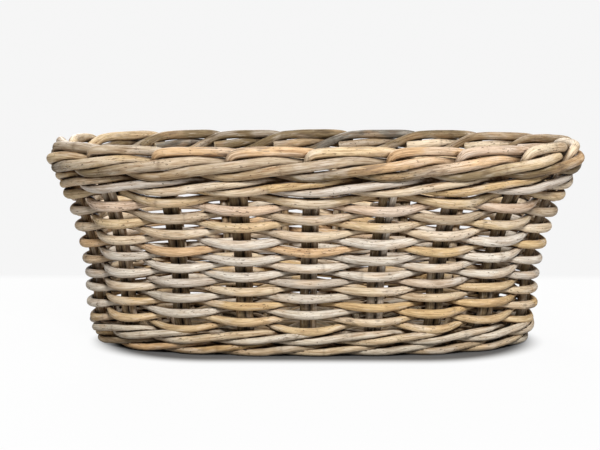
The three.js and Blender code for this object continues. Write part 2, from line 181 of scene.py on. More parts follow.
# Colours as they look
STRAW = (0.86, 0.77, 0.62)
CREAM = (0.89, 0.82, 0.71)
PALE_GREY = (0.87, 0.84, 0.79)
MAUVE_GREY = (0.80, 0.76, 0.71)
BLEACHED = (0.96, 0.94, 0.90)
ORANGE_TAN = (0.84, 0.71, 0.55)
PINKISH_TAN = (0.84, 0.75, 0.66)
YELLOW_TAN = (0.85, 0.74, 0.56)
OLIVE_BROWN = (0.52, 0.45, 0.33)
BROWN_TAN = (0.66, 0.57, 0.44)
TAN_GREY = (0.76, 0.69, 0.59)
OLD_GREY = (0.58, 0.54, 0.47)
DARK_GREY = (0.47, 0.45, 0.41)

# Rows of the wall from the foot up
ROW_TONES = (
    STRAW, STRAW, YELLOW_TAN, YELLOW_TAN, STRAW, CREAM, MAUVE_GREY, PALE_GREY, PALE_GREY,
    PALE_GREY, ORANGE_TAN, CREAM, CREAM, STRAW, TAN_GREY, PINKISH_TAN, STRAW,
)
ROW_TONE_WEIGHT = 14
STRAY_TONES = (STRAW, CREAM, PALE_GREY, TAN_GREY, ORANGE_TAN, MAUVE_GREY, YELLOW_TAN)
BORDER_TONES = (STRAW, CREAM, ORANGE_TAN, STRAW, PINKISH_TAN, TAN_GREY)
BACK_BORDER_TONES = (OLD_GREY, BROWN_TAN, DARK_GREY, TAN_GREY, OLIVE_BROWN)
STAKE_TONES = (OLIVE_BROWN, BROWN_TAN, OLIVE_BROWN, TAN_GREY)
BYE_STAKE_TONES = (*STAKE_TONES, TAN_GREY, BROWN_TAN)
PALE_BYE_STAKE = 1
BASE_TONES = (BROWN_TAN, OLIVE_BROWN, TAN_GREY, OLD_GREY)
TONE_SPREAD = 0.035

# How much bark a cane keeps
BARK_SHARE = 0.2
STAKE_BARK_SHARES = (0.1, 0.5)
WEAVER_BARK_SHARES = (0.0, 0.25)
WALE_BARK_SHARE = 0.3

# The curve between a colour as it looks and its amount of light
CURVE_SLOPE = 12.92
CURVE_KNEE = 0.04045
CURVE_SHIFT = 0.055
CURVE_POWER = 2.4

# Camera, at the height and distance that the view shows
CAMERA_PLACE = (0.0, -1.38, 0.249)
CAMERA_PITCH = math.radians(6.31)
CAMERA_YAW = math.radians(0.573)
CAMERA_LENS = 95.9
SENSOR_WIDTH = 36.0

rng = np.random.default_rng(SEED)


def smooth_values(keys, values, at):
    """Values on a smooth line through the keys, straight on past both ends."""
    values = np.asarray(values, float)
    if values.ndim == 1:
        return smooth_values(keys, values[:, None], at)[:, 0]
    keys = np.asarray(keys, float)
    at = np.asarray(at, float)
    steps = np.diff(keys)[:, None]
    slopes = np.diff(values, axis=0) / steps
    inner = (slopes[:-1] * steps[1:] + slopes[1:] * steps[:-1]) / (steps[:-1] + steps[1:])
    tangents = np.concatenate([slopes[:1], inner, slopes[-1:]])
    segment = np.clip(np.searchsorted(keys, at, side="right") - 1, 0, len(steps) - 1)
    width = steps[segment]
    past_key = (at - keys[segment])[:, None]
    share = np.clip(past_key / width, 0, 1)
    beyond = past_key - share * width
    square = share**2
    cube = share**3
    on_line = (
        (2 * cube - 3 * square + 1) * values[segment]
        + (cube - 2 * square + share) * (tangents[segment] * width)
        + (3 * square - 2 * cube) * values[segment + 1]
        + (cube - square) * (tangents[segment + 1] * width)
    )
    return on_line + beyond * np.where(beyond < 0, tangents[segment], tangents[segment + 1])


def unit(vectors):
    return vectors / np.linalg.norm(vectors, axis=-1, keepdims=True)


def between(low, high, share):
    return low + (high - low) * share


def smooth_step(share):
    share = np.clip(share, 0, 1)
    return share * share * (3 - 2 * share)


def path_lengths(points):
    return np.concatenate([[0], np.cumsum(np.linalg.norm(np.diff(points, axis=0), axis=1))])


def wander(places, spacing, size):
    """Smooth random offsets along a cane."""
    count = max(int((places[-1] - places[0]) / spacing) + 2, 3)
    keys = np.linspace(places[0], places[-1], count)
    return smooth_values(keys, rng.uniform(-size, size, count), places)


# Sizes that follow
FLAT_SHARE = math.cos(math.pi / FRAME_CANE_SIDES)
STAKE_SHIFT = BYE_STAKE_RADIUS + GAP / 2
BYE_STAKE_SHIFT = STAKE_RADIUS + GAP / 2
FLARE = RIM_HALF_LENGTH - FOOT_HALF_LENGTH
LOWER_RISE = (LOWER_ROD_RADIUS + GAP / 2) * LOWER_RISE_SHARE
UPPER_RISE = (UPPER_ROD_RADIUS + GAP / 2) * UPPER_RISE_SHARE
LOWER_ROUND_HEIGHT = 2 * LOWER_RISE + LOWER_ROD_RADIUS * (1 + FLAT_SHARE)
UPPER_ROUND_HEIGHT = 2 * UPPER_RISE + UPPER_ROD_RADIUS * (1 + FLAT_SHARE)
LOWER_ROUND_PITCH = (LOWER_ROUND_HEIGHT + GAP) * ROUND_NEST_SHARE
LOWER_WALE_HEIGHT = LOWER_ROUND_HEIGHT + GAP + (LOWER_WALE_ROUNDS - 1) * LOWER_ROUND_PITCH
FOOT_SLOPE = WEAVE_KNOT_SHARES[0][1] * FLARE / LOWER_WALE_HEIGHT
LOWER_ROOM = 2 * GAP + LOWER_RISE * FOOT_SLOPE
LOWER_REACH = (STAKE_RADIUS + LOWER_ROOM + LOWER_ROD_RADIUS) * math.hypot(1, FOOT_SLOPE)
FIRST_ROUND_Z = LOWER_ROD_RADIUS * FLAT_SHARE + LOWER_RISE
BORDER_REACH = 2 * STAKE_RADIUS + BORDER_GAP
BORDER_HEIGHT = max(share[2] for share in BORDER_PATH_SHARES) * BORDER_REACH + STAKE_RADIUS
TOP_HEIGHT = UPPER_WALE_LIFT + UPPER_ROUND_HEIGHT + GAP + BORDER_LIFT + BORDER_HEIGHT
RIM_SLOPE = (1 - WEAVE_KNOT_SHARES[-1][1]) * FLARE / TOP_HEIGHT
UPPER_ROOM = GAP + UPPER_RISE * RIM_SLOPE * UPPER_UPRIGHT_SHARE
STRAND_START = math.ceil(STEP_SPACE) - STAKE_COUNT
STRAND_END = math.floor(STEP_SPACE) + STAKE_COUNT * (ROW_COUNT - 1)


def weaver_diameter(strand):
    share = (strand - STRAND_START) / (STRAND_END - STRAND_START)
    return between(WEAVER_FOOT_DIAMETER, WEAVER_RIM_DIAMETER, share)


def row_levels():
    """How high each row's centre lies above the lower wale, and where the weave ends."""
    woven = 0
    levels = []
    for row in range(ROW_COUNT):
        diameter = weaver_diameter(row * STAKE_COUNT)
        levels.append(woven + diameter / 2)
        woven += diameter + ROW_GAP
    return np.array(levels), woven


ROW_DISTANCES, WOVEN = row_levels()


def profile_knots():
    """The wall's profile as rows of height, distance and share of the flare.

    The distance is measured upright as far as the weave goes, and up the slope above that.
    """
    knots = [(0, -LOWER_WALE_HEIGHT, 0)]
    for height_share, flare_share in WEAVE_KNOT_SHARES:
        distance = height_share * WOVEN
        knots.append((LOWER_WALE_HEIGHT + distance, distance, flare_share))
    outward = (1 - knots[-1][2]) * FLARE
    knots.append((knots[-1][0] + math.sqrt(TOP_HEIGHT**2 - outward**2), WOVEN + TOP_HEIGHT, 1))
    return np.array(knots, float)


PROFILE = profile_knots()


def height_at(distance):
    return smooth_values(PROFILE[:, 1], PROFILE[:, 0], np.atleast_1d(distance))


def oval(angles, half_length, half_depth):
    exponent = 2 / OVAL_POWER
    sine = np.sin(angles)
    cosine = np.cos(angles)
    x = half_length * np.sign(sine) * np.abs(sine) ** exponent
    y = -half_depth * np.sign(cosine) * np.abs(cosine) ** exponent
    return x, y


def even_oval(half_length, half_depth, shares):
    """Points at shares of the way round an oval."""
    x, y = oval(np.linspace(0, math.tau, FINE_STEPS + 1), half_length, half_depth)
    lengths = path_lengths(np.column_stack([x, y]))
    wanted = lengths[-1] * shares
    return np.interp(wanted, lengths, x), np.interp(wanted, lengths, y)


def drifted(spaces, flare_share):
    """Where places round the wall lie once the stakes stand unevenly."""
    turns = np.tile(between(*np.array(DRIFT_SHARES).T, flare_share), 3)
    return spaces + smooth_values(np.arange(-STAKE_COUNT, 2 * STAKE_COUNT), turns, spaces)


def wall_tables():
    """The wall's middle on even stations and levels, with the directions along it and up its slope."""
    count = STAKE_COUNT * STATIONS_PER_SPACE
    spaces = np.arange(count) / STATIONS_PER_SPACE
    levels = np.arange(LOWEST_LEVEL, HIGHEST_LEVEL, LEVEL_STEP)
    flares = smooth_values(PROFILE[:, 0], PROFILE[:, 2], levels)
    middle = np.empty((len(levels), count, 3))
    for index, (z, share) in enumerate(zip(levels, flares)):
        half_length = between(FOOT_HALF_LENGTH, RIM_HALF_LENGTH, share)
        half_depth = between(FOOT_HALF_DEPTH, RIM_HALF_DEPTH, share)
        x, y = even_oval(half_length, half_depth, np.mod(drifted(spaces, share) / STAKE_COUNT, 1))
        middle[index] = np.column_stack([x + RIM_SHIFT * (share - 1), y, np.full(count, z)])
    along = unit(np.roll(middle, -1, axis=1) - np.roll(middle, 1, axis=1))
    slope = unit(np.gradient(middle, axis=0))
    up = unit(slope - (slope * along).sum(-1, keepdims=True) * along)
    return levels, middle, along, up


LEVELS, WALL_MIDDLE, WALL_ALONG, WALL_UP = wall_tables()


def read_wall(table, spaces, z):
    """What a table of the wall says between its stations and levels."""
    count = table.shape[1]
    station = np.mod(spaces, STAKE_COUNT) * STATIONS_PER_SPACE
    low_station = np.floor(station).astype(int)
    station_share = (station - low_station)[:, None]
    level = (z - LEVELS[0]) / LEVEL_STEP
    low_level = np.clip(np.floor(level).astype(int), 0, len(LEVELS) - 2)
    level_share = (level - low_level)[:, None]

    def read_row(row):
        near = table[row, low_station % count]
        return near * (1 - station_share) + table[row, (low_station + 1) % count] * station_share

    return read_row(low_level) * (1 - level_share) + read_row(low_level + 1) * level_share


def wall_path(spaces, z, out, up=0.0, shift=0.0, upright=0.0):
    """Points at an offset out from the wall's middle, up it and along it, and the way that they face.

    The directions lean as the wall does, or stand upright by a share, and then out is lengthened to keep
    its distance from the leaning wall.
    """
    spaces, z, out, up, shift = np.broadcast_arrays(*map(np.atleast_1d, (spaces, z, out, up, shift)))
    leaning = unit(read_wall(WALL_UP, spaces, z))
    rise = unit(leaning * (1 - upright) + np.array([0.0, 0.0, 1.0]) * upright)
    along = unit(read_wall(WALL_ALONG, spaces, z))
    facing = unit(np.cross(along, rise))
    reach = out / (rise * leaning).sum(-1)
    points = read_wall(WALL_MIDDLE, spaces, z)
    points = points + facing * reach[:, None] + rise * up[:, None] + along * shift[:, None]
    return points, facing


def rounded(points, facing):
    """A dense smooth path through a few points."""
    chords = np.linalg.norm(np.diff(points, axis=0), axis=1)
    keys = np.concatenate([[0], np.cumsum(np.sqrt(chords))])
    counts = np.maximum(np.ceil(chords / DENSE_STEP).astype(int), 2)
    at = [np.linspace(keys[i], keys[i + 1], counts[i], endpoint=False) for i in range(len(counts))]
    at = np.concatenate([*at, keys[-1:]])
    return smooth_values(keys, points, at), smooth_values(keys, facing, at)


def linear(colour):
    """Light amounts of a colour given as it looks."""
    colour = np.asarray(colour, float)
    low = colour / CURVE_SLOPE
    high = ((colour + CURVE_SHIFT) / (1 + CURVE_SHIFT)) ** CURVE_POWER
    return np.where(colour <= CURVE_KNEE, low, high)


def read_path(vectors, lengths, places):
    return np.column_stack([np.interp(places, lengths, column) for column in vectors.T])


def cane_places(total):
    """Where along a cane it is sampled, closer round its knots and at its ends, and where its knots are."""
    knots = np.cumsum(rng.uniform(*KNOT_SPACING, int(total / KNOT_SPACING[0]) + 2))
    knots = knots - rng.uniform(0, KNOT_SPACING[0])
    knots = knots[(knots > KNOT_END_ROOM) & (knots < total - KNOT_END_ROOM)]
    even = np.linspace(0, total, int(total / SAMPLE_STEP))
    rings = (knots[:, None] + KNOT_HALF_WIDTH * np.array([-1, 0, 1])).ravel()
    ends = np.array([0, END_BEVEL, total - END_BEVEL, total])
    clear = np.ones(len(even), bool)
    for place in np.concatenate([rings, ends]):
        clear &= np.abs(even - place) > KNOT_HALF_WIDTH / 2
    return np.sort(np.concatenate([even[clear], rings, ends])), knots


def finished_cane(points, facing, radius, tone, bark=BARK_SHARE, unevenness=UNEVENNESS):
    """A cane along a dense path: evenly sampled, with knots, cut ends and an uneven shape."""
    lengths = path_lengths(points)
    total = lengths[-1]
    places, knots = cane_places(total)
    middle = read_path(points, lengths, places)
    tangent = unit(np.gradient(middle, axis=0))
    side = unit(np.cross(tangent, unit(read_path(facing, lengths, places))))
    face = np.cross(side, tangent)
    for direction in (face, side):
        middle = middle + direction * wander(places, PATH_WANDER_SPACING, unevenness)[:, None]
    radii = np.interp(places, lengths, np.broadcast_to(radius, lengths.shape))
    radii = radii * (1 + rng.uniform(-RADIUS_SPREAD_SHARE, RADIUS_SPREAD_SHARE))
    radii = radii * (1 + wander(places, RADIUS_WANDER_SPACING, RADIUS_WANDER_SHARE))
    knot = np.zeros(len(places))
    for place in knots:
        knot += np.exp(-(((places - place) / KNOT_HALF_WIDTH) ** 2))
        swelling = np.exp(-(((places - place) / KNOT_SWELLING_HALF_WIDTH) ** 2))
        radii = radii * (1 + KNOT_SWELLING_SHARE * swelling)
    at_end = np.minimum(places, total - places) < END_BEVEL / 2
    # Painted shade: the colour darkens towards the foot
    near_foot = smooth_step(1 - middle[:, 2:] / FOOT_PAINTED_SHADE_HEIGHT)
    return {
        "middle": middle,
        "facing": face,
        "cane_radius": radii * np.where(at_end, END_RADIUS_SHARE, 1),
        "cane_along": places + rng.uniform(0, PATTERN_LENGTH),
        "cane_knot": knot,
        "cane_end": at_end.astype(float),
        "cane_bark": np.full(len(places), bark),
        "cane_colour": linear(tone) * (1 - near_foot * FOOT_PAINTED_SHADE_SHARES),
    }


# Nodes
def wired(tree, kind, settings=None, **inputs):
    """Adds a node and gives its outputs. Its inputs go by name, with underscores, or by i and a number."""
    node = tree.nodes.new(kind)
    for name, value in (settings or {}).items():
        setattr(node, name, value)
    for name, value in inputs.items():
        target = node.inputs[int(name[1:]) if name[1:].isdigit() else name.replace("_", " ")]
        if isinstance(value, bpy.types.NodeSocket):
            tree.links.new(value, target)
        else:
            target.default_value = value
    return node.outputs


def number(tree, operation, first, second=0.0):
    return wired(tree, "ShaderNodeMath", {"operation": operation}, i0=first, i1=second)[0]


def vectors(tree, operation, first, second=(0.0, 0.0, 0.0)):
    return wired(tree, "ShaderNodeVectorMath", {"operation": operation}, i0=first, i1=second)[0]


def scaled(tree, vector, amount):
    return wired(tree, "ShaderNodeVectorMath", {"operation": "SCALE"}, i0=vector, Scale=amount)[0]


def noise(tree, place, detail):
    return wired(tree, "ShaderNodeTexNoise", Vector=place, Scale=1.0, Detail=detail)["Fac"]


def ranged(tree, value, low, high, at_low=0.0, at_high=1.0, shape="SMOOTHSTEP"):
    return wired(
        tree, "ShaderNodeMapRange", {"interpolation_type": shape},
        Value=value, From_Min=low, From_Max=high, To_Min=at_low, To_Max=at_high,
    )["Result"]


def mixed(tree, share, first, second, blend="MIX"):
    settings = {"data_type": "RGBA", "blend_type": blend}
    return wired(tree, "ShaderNodeMix", settings, i0=share, i6=first, i7=second)[2]


def stored(tree, geometry, name, kind, value):
    """Notes a value on each point of the geometry."""
    return wired(
        tree, "GeometryNodeStoreNamedAttribute", {"data_type": kind, "domain": "POINT"},
        Geometry=geometry, Name=name, Value=value,
    )[0]


def geometry_tree(name, sizes):
    """A tree of geometry nodes with a shape, sizes and a surface as its inputs, and what they give."""
    tree = bpy.data.node_groups.new(name, "GeometryNodeTree")
    for side in ("INPUT", "OUTPUT"):
        tree.interface.new_socket("Shape", in_out=side, socket_type="NodeSocketGeometry")
    for size_name, value in sizes.items():
        kind = "NodeSocketInt" if isinstance(value, int) else "NodeSocketFloat"
        tree.interface.new_socket(size_name, in_out="INPUT", socket_type=kind).default_value = value
    tree.interface.new_socket("Surface", in_out="INPUT", socket_type="NodeSocketMaterial")
    return tree, wired(tree, "NodeGroupInput")


def new_material(name):
    """A material, its tree and its surface node."""
    material = bpy.data.materials.new(name)
    material.use_nodes = True
    return material, material.node_tree, material.node_tree.nodes["Principled BSDF"]


def add_object(name, data):
    added = bpy.data.objects.new(name, data)
    bpy.context.scene.collection.objects.link(added)
    return added


def evaluated(name, mesh, tree, inputs):
    """A plain mesh of what the tree makes of another."""
    holder = add_object(name, mesh)
    modifier = holder.modifiers.new(tree.name, "NODES")
    modifier.node_group = tree
    sockets = {item.name: item.identifier for item in tree.interface.items_tree if item.in_out == "INPUT"}
    for input_name, value in inputs.items():
        modifier[sockets[input_name]] = value
    view = bpy.context.evaluated_depsgraph_get()
    result = bpy.data.meshes.new_from_object(holder.evaluated_get(view))
    bpy.data.objects.remove(holder)
    return result


# Making the canes round
FLOAT_ATTRIBUTES = ("cane_radius", "cane_along", "cane_knot", "cane_end", "cane_bark")
VECTOR_ATTRIBUTES = ("facing", "cane_colour")
SPARE_ATTRIBUTES = ("facing", "ring_place", "cane_along", "cane_radius")
SWEEP_SIZES = {
    "Sides": CANE_SIDES,
    "Flatness": 0.95,
    "Lump Height": 0.0003,
    "Lump Length": 0.018,
    "Groove Depth": 0.00014,
    "Groove Width": 0.0022,
}
LUMP_WIDTH_SHARE = 0.4
GROOVE_LENGTH_SHARE = 14.0
BUMP_DETAIL = 2.0
NOISE_MIDDLE = 0.5


def sweep_tree():
    """Geometry nodes that turn middle lines with attributes into round, lumpy, closed canes."""
    tree, given = geometry_tree("Cane Sweep", SWEEP_SIZES)

    def named(name, kind="FLOAT"):
        return wired(tree, "GeometryNodeInputNamedAttribute", {"data_type": kind}, Name=name)["Attribute"]

    def vector(x, y, z):
        return wired(tree, "ShaderNodeCombineXYZ", X=x, Y=y, Z=z)[0]

    lines = wired(tree, "GeometryNodeMeshToCurve", Mesh=given["Shape"])[0]
    facing = named("facing", "FLOAT_VECTOR")
    turned = wired(tree, "GeometryNodeSetCurveNormal", {"mode": "FREE"}, Curve=lines, Normal=facing)[0]
    ring = wired(tree, "GeometryNodeCurvePrimitiveCircle", Resolution=given["Sides"], Radius=1.0)[0]
    flat = vector(given["Flatness"], 1.0, 1.0)
    ring = wired(tree, "GeometryNodeTransform", Geometry=ring, Scale=flat)[0]
    ring = stored(tree, ring, "ring_place", "FLOAT_VECTOR", wired(tree, "GeometryNodeInputPosition")[0])
    swept = wired(
        tree, "GeometryNodeCurveToMesh",
        Curve=turned, Profile_Curve=ring, Scale=named("cane_radius"), Fill_Caps=True,
    )[0]
    section = scaled(tree, named("ring_place", "FLOAT_VECTOR"), named("cane_radius"))
    parts = wired(tree, "ShaderNodeSeparateXYZ", Vector=section)
    place = vector(named("cane_along"), parts["X"], parts["Y"])
    swept = stored(tree, swept, "cane_place", "FLOAT_VECTOR", place)

    def bumps(height, length, width):
        across = number(tree, "DIVIDE", 1.0, width)
        shares = vector(number(tree, "DIVIDE", 1.0, length), across, across)
        stretched = vectors(tree, "MULTIPLY", named("cane_place", "FLOAT_VECTOR"), shares)
        uneven = number(tree, "SUBTRACT", noise(tree, stretched, BUMP_DETAIL), NOISE_MIDDLE)
        return number(tree, "MULTIPLY", uneven, number(tree, "DIVIDE", height, NOISE_MIDDLE))

    lump_width = number(tree, "MULTIPLY", given["Lump Length"], LUMP_WIDTH_SHARE)
    lumps = bumps(given["Lump Height"], given["Lump Length"], lump_width)
    groove_length = number(tree, "MULTIPLY", given["Groove Width"], GROOVE_LENGTH_SHARE)
    grooves = bumps(given["Groove Depth"], groove_length, given["Groove Width"])
    off_end = number(tree, "SUBTRACT", 1.0, named("cane_end"))
    lift = number(tree, "MULTIPLY", number(tree, "ADD", lumps, grooves), off_end)
    normal = wired(tree, "GeometryNodeInputNormal")[0]
    swept = wired(tree, "GeometryNodeSetPosition", Geometry=swept, Offset=scaled(tree, normal, lift))[0]
    corners = wired(tree, "GeometryNodeInputMeshFaceNeighbors")["Vertex Count"]
    is_side = number(tree, "LESS_THAN", corners, given["Sides"])
    swept = wired(
        tree, "GeometryNodeSetShadeSmooth", {"domain": "FACE"}, Geometry=swept, Shade_Smooth=is_side,
    )[0]
    swept = wired(tree, "GeometryNodeRealizeInstances", Geometry=swept)[0]
    swept = wired(tree, "GeometryNodeSetMaterial", Geometry=swept, Material=given["Surface"])[0]
    wired(tree, "NodeGroupOutput", i0=swept)
    return tree


def joined_lines(name, canes):
    """One mesh of the middle lines of several canes, with what each point says of its cane."""
    points = np.concatenate([cane["middle"] for cane in canes])
    ends = np.cumsum([len(cane["middle"]) for cane in canes]) - 1
    steps = np.setdiff1d(np.arange(len(points)), ends)
    mesh = bpy.data.meshes.new(name)
    mesh.from_pydata(points.tolist(), np.column_stack([steps, steps + 1]).tolist(), [])
    for key in (*FLOAT_ATTRIBUTES, *VECTOR_ATTRIBUTES):
        values = np.concatenate([cane[key] for cane in canes]).astype(np.float32).ravel()
        kind, field = ("FLOAT_VECTOR", "vector") if key in VECTOR_ATTRIBUTES else ("FLOAT", "value")
        mesh.attributes.new(key, kind, "POINT").data.foreach_set(field, values)
    return mesh


def swept_mesh(node_name, canes, tree, material):
    """The canes as one plain mesh."""
    lines_name = node_name + "_lines"
    mesh = evaluated(lines_name, joined_lines(lines_name, canes), tree, {"Surface": material})
    mesh.name = node_name + "_cane"
    for spare in SPARE_ATTRIBUTES:
        if spare in mesh.attributes:
            mesh.attributes.remove(mesh.attributes[spare])
    return mesh


# How openly the canes lie, for the shade painted into their colour where they lie close together
OPENNESS_RAY_COUNT = 16
GOLDEN_TURN = math.pi * (1 + math.sqrt(5))
OPENNESS_SIZES = {"Ray Length": 0.022, "Ray Start": 0.0004}


def even_directions(count):
    """Directions spread evenly over a ball."""
    steps = np.arange(count) + 0.5
    heights = 1 - 2 * steps / count
    turns = GOLDEN_TURN * steps
    level = np.sqrt(1 - heights**2)
    return np.column_stack([level * np.cos(turns), level * np.sin(turns), heights])


def openness_tree():
    """Geometry nodes that send short rays out from every point and note how far they get."""
    tree, given = geometry_tree("Cane Openness", OPENNESS_SIZES)
    normal = wired(tree, "GeometryNodeInputNormal")[0]
    place = wired(tree, "GeometryNodeInputPosition")[0]
    start = vectors(tree, "ADD", place, scaled(tree, normal, given["Ray Start"]))
    openness = 0.0
    for direction in even_directions(OPENNESS_RAY_COUNT):
        ray = wired(
            tree, "GeometryNodeRaycast", Target_Geometry=given["Shape"], Source_Position=start,
            Ray_Direction=vectors(tree, "ADD", normal, tuple(direction)), Ray_Length=given["Ray Length"],
        )
        reached = number(tree, "DIVIDE", ray["Hit Distance"], given["Ray Length"])
        settings = {"input_type": "FLOAT"}
        share = wired(tree, "GeometryNodeSwitch", settings, Switch=ray["Is Hit"], i1=1.0, i2=reached)[0]
        openness = number(tree, "ADD", share, openness)
    mean = number(tree, "DIVIDE", openness, OPENNESS_RAY_COUNT)
    wired(tree, "NodeGroupOutput", i0=stored(tree, given["Shape"], "cane_open", "FLOAT", mean))
    return tree


# What a joined mesh takes over: items, their value, its kind and width, and the items that it numbers
MESH_FIELDS = (
    ("vertices", "co", np.float32, 3, None),
    ("loops", "vertex_index", np.int32, 1, "vertices"),
    ("polygons", "loop_start", np.int32, 1, "loops"),
)


def read_values(items, name, kind=np.float32, width=1):
    values = np.empty(len(items) * width, kind)
    items.foreach_get(name, values)
    return values


def joined_mesh(meshes):
    """All the meshes as one."""
    joined = bpy.data.meshes.new("all_canes")
    for field, name, kind, width, counted in MESH_FIELDS:
        values = []
        before = 0
        for mesh in meshes:
            values.append(read_values(getattr(mesh, field), name, kind, width) + before)
            before += len(getattr(mesh, counted)) if counted else 0
        values = np.concatenate(values)
        getattr(joined, field).add(len(values) // width)
        getattr(joined, field).foreach_set(name, values)
    joined.update(calc_edges=True)
    return joined


def note_openness(meshes):
    """Gives each point of the canes how open it lies among all of them."""
    noted = evaluated("all_canes", joined_mesh(meshes), openness_tree(), {})
    openness = read_values(noted.attributes["cane_open"].data, "value")
    ends = np.cumsum([len(mesh.vertices) for mesh in meshes])
    for mesh, values in zip(meshes, np.split(openness, ends[:-1])):
        mesh.attributes.new("cane_open", "FLOAT", "POINT").data.foreach_set("value", values)


def place_piece(node_name, mesh, slot):
    """Stands the mesh for a node of the frame."""
    piece = add_object(node_name + "_cane", mesh)
    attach(piece, "root")
    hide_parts(node_name)


# Noises on the surface: length along the cane, width across it, detail, shift of the pattern
NOISES = {
    "streak": (0.030, 0.0011, 4.0, 0.0),
    "fibre": (0.009, 0.00028, 3.0, 1.7),
    "fleck": (0.011, 0.0017, 3.0, 5.1),
    "stain": (0.022, 0.006, 5.0, 11.9),
    "grey patch": (0.035, 0.012, 4.0, 3.1),
    "warm patch": (0.035, 0.012, 3.0, 7.3),
    "bark patch": (0.035, 0.012, 5.0, 19.3),
    "speck patch": (0.035, 0.012, 2.0, 41.0),
    "speck": (0.0030, 0.0011, 2.0, 23.0),
    "pore": (0.0030, 0.0011, 2.0, 31.0),
}
BARK_WEIGHT = 0.35
FLECK_WEIGHT = 0.45
SPECK_PATCH_WEIGHT = 0.3

# Layers of colour, each over the one before: name, strength, what the layer follows, the value at which
# it starts and the one at which it is full, tone, way of mixing
SKIN_LAYERS = (
    ("greying", 0.5, "grey patch", 0.48, 0.62, (0.87, 0.84, 0.80), "MIX"),
    ("warming", 0.35, "warm patch", 0.52, 0.66, ORANGE_TAN, "MIX"),
    ("streaks", 0.5, "streak", 0.54, 0.34, (0.66, 0.56, 0.45), "MULTIPLY"),
    ("fibres", 0.6, "fibre", 0.56, 0.30, (0.68, 0.59, 0.48), "MULTIPLY"),
    ("dark flecks", 0.3, "fleck", 0.50, 0.34, (0.76, 0.66, 0.54), "MULTIPLY"),
    ("pale flecks", 0.25, "fleck", 0.56, 0.72, (0.93, 0.89, 0.83), "MIX"),
    ("stains", 0.35, "stain", 0.56, 0.72, (0.52, 0.44, 0.34), "MULTIPLY"),
    ("bark", 0.6, "bark", 0.76, 0.81, (0.40, 0.32, 0.25), "MIX"),
    ("specks", 0.75, "dense speck", 0.80, 0.86, (0.40, 0.32, 0.24), "MULTIPLY"),
)
END_LAYERS = (("pores", 0.5, "pore", 0.45, 0.6, (0.60, 0.50, 0.38), "MIX"),)
# Painted shade: where rays from a point soon meet other canes, its colour is darkened, down to near black in
# the deepest gaps
CREVICE_SHADE_LAYERS = (
    ("crevice_shade", 1.0, "openness", 0.72, 0.46, (0.55, 0.45, 0.33), "MULTIPLY"),
    ("crevice_shade", 1.0, "openness", 0.55, 0.26, (0.05, 0.037, 0.025), "MULTIPLY"),
)
KNOT_STRENGTH = 0.35
KNOT_TONE = (0.50, 0.41, 0.32)
END_TONE = (0.86, 0.80, 0.68)

# Surfaces by slot: roughness, and the layers that have a strength of their own there
SURFACES = {
    "stake_cane": (0.7, {"streaks": 0.6, "greying": 0.35, "stains": 0.5, "crevice_shade": 0.55}),
    "bye_stake_cane": (0.76, {"streaks": 0.7, "stains": 0.5, "crevice_shade": 0.55}),
    "weaver_cane": (0.7, {"greying": 0.4}),
    "wale_cane": (0.7, {"streaks": 0.6, "greying": 0.4, "stains": 0.4}),
    "base_cane": (0.78, {"streaks": 0.6, "greying": 0.4, "stains": 0.5}),
}
# The range of the streaks over which the roughness changes, and how much it is off at each end
ROUGHNESS_STREAKS = (0.3, 0.7)
ROUGHNESS_CHANGES = (0.12, -0.08)
SPECULAR_LEVEL = 0.35
FIBRE_HEIGHT_SHARE = 0.5
BUMP_STRENGTH = 0.55
BUMP_DISTANCE = 0.0006


def cane_material(slot, roughness, own_strengths):
    """Weathered cane: lengthwise streaks and fibres, patches, flecks, bark, specks, knots, ends, and shade
    painted where the canes lie close.
    """
    material, tree, surface = new_material(slot.replace("_", " ").title())

    def noted(attribute, kind="Fac"):
        return wired(tree, "ShaderNodeAttribute", {"attribute_name": attribute})[kind]

    def plus(first, second, weight):
        return number(tree, "ADD", first, number(tree, "MULTIPLY", second, weight))

    def plain(tone):
        return (*linear(tone), 1.0)

    place = noted("cane_place", "Vector")
    followed = {"openness": noted("cane_open")}
    for noise_name, (length, width, detail, shift) in NOISES.items():
        moved = vectors(tree, "ADD", place, (shift, shift, shift))
        stretched = vectors(tree, "MULTIPLY", moved, (1 / length, 1 / width, 1 / width))
        followed[noise_name] = noise(tree, stretched, detail)
    uneven = number(tree, "SUBTRACT", followed["fleck"], NOISE_MIDDLE)
    barked = plus(followed["bark patch"], noted("cane_bark"), BARK_WEIGHT)
    followed["bark"] = plus(barked, uneven, FLECK_WEIGHT)
    followed["dense speck"] = plus(followed["speck"], followed["speck patch"], SPECK_PATCH_WEIGHT)

    def layered(skin, layers):
        for name, strength, follows, start, full, tone, blend in layers:
            strength = own_strengths.get(name, strength)
            amounts = (0.0, strength) if start < full else (strength, 0.0)
            share = ranged(tree, followed[follows], *sorted((start, full)), *amounts)
            skin = mixed(tree, share, skin, plain(tone), blend)
        return skin

    skin = layered(noted("cane_colour", "Color"), SKIN_LAYERS)
    knotted = number(tree, "MULTIPLY", noted("cane_knot"), KNOT_STRENGTH)
    skin = mixed(tree, knotted, skin, plain(KNOT_TONE), "MULTIPLY")
    skin = mixed(tree, noted("cane_end"), skin, layered(plain(END_TONE), END_LAYERS))
    tree.links.new(layered(skin, CREVICE_SHADE_LAYERS), surface.inputs["Base Color"])
    at_ends = [roughness + change for change in ROUGHNESS_CHANGES]
    rough = ranged(tree, followed["streak"], *ROUGHNESS_STREAKS, *at_ends)
    tree.links.new(rough, surface.inputs["Roughness"])
    surface.inputs["Specular IOR Level"].default_value = SPECULAR_LEVEL
    height = plus(followed["streak"], followed["fibre"], FIBRE_HEIGHT_SHARE)
    bump = wired(tree, "ShaderNodeBump", Strength=BUMP_STRENGTH, Distance=BUMP_DISTANCE, Height=height)
    tree.links.new(bump["Normal"], surface.inputs["Normal"])
    return material


def chosen(tones):
    """One of the tones, a little lighter or darker."""
    tone = np.array(tones[rng.integers(len(tones))])
    return np.clip(tone + rng.uniform(-TONE_SPREAD, TONE_SPREAD), 0, 1)


